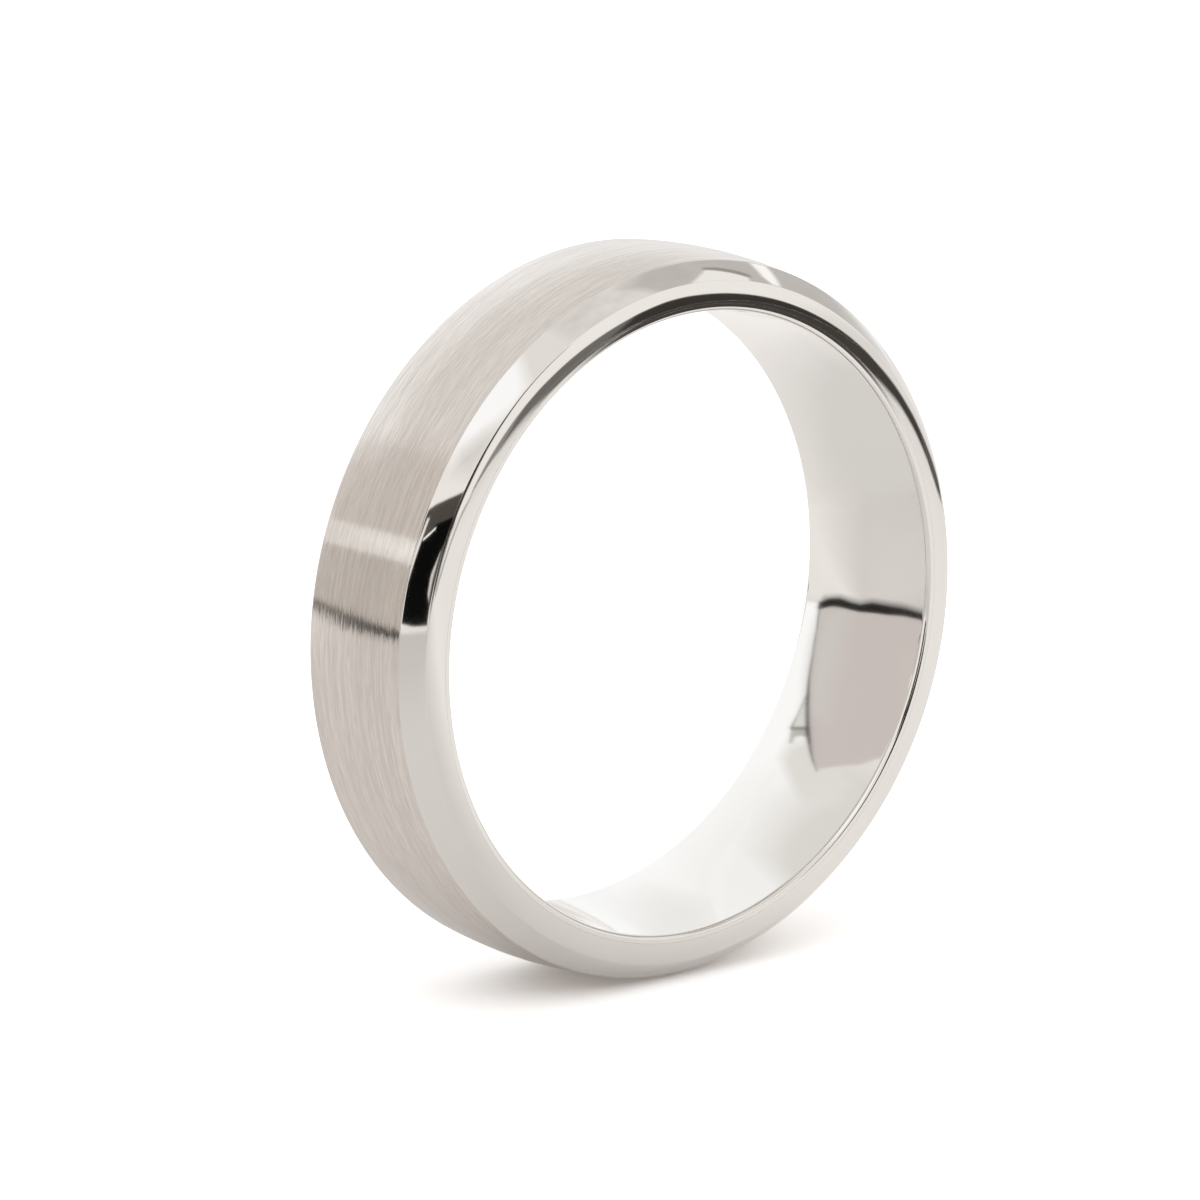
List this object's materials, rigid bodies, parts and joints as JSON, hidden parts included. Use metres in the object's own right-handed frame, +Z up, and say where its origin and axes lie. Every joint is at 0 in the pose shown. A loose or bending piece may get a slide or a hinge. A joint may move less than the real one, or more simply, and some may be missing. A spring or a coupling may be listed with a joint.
{
  "type": "wedding band",
  "caption": "Plain white-metal finger ring with a satin centre band between polished bevelled rails, on a polished comfort-fit liner.",
  "frame": {"origin": "centre of the ring, on the finger axis halfway across the band's width", "axes": "+Y along the finger axis, away from the side shown in the picture; +Z up as the band stands on its edge; +X to the right of that side"},
  "size_m": [0.022, 0.0054, 0.022],
  "materials": {
    "polished_bore": "polished",
    "satin_metal": "satin, brushed round the band",
    "polished_metal": "polished"
  },
  "bodies": {
    "root": {"inner_sleeve": "polished_bore", "satin_centre_band": "satin_metal", "front_bevel_rail": "polished_metal", "rear_bevel_rail": "polished_metal"}
  },
  "joints": []
}
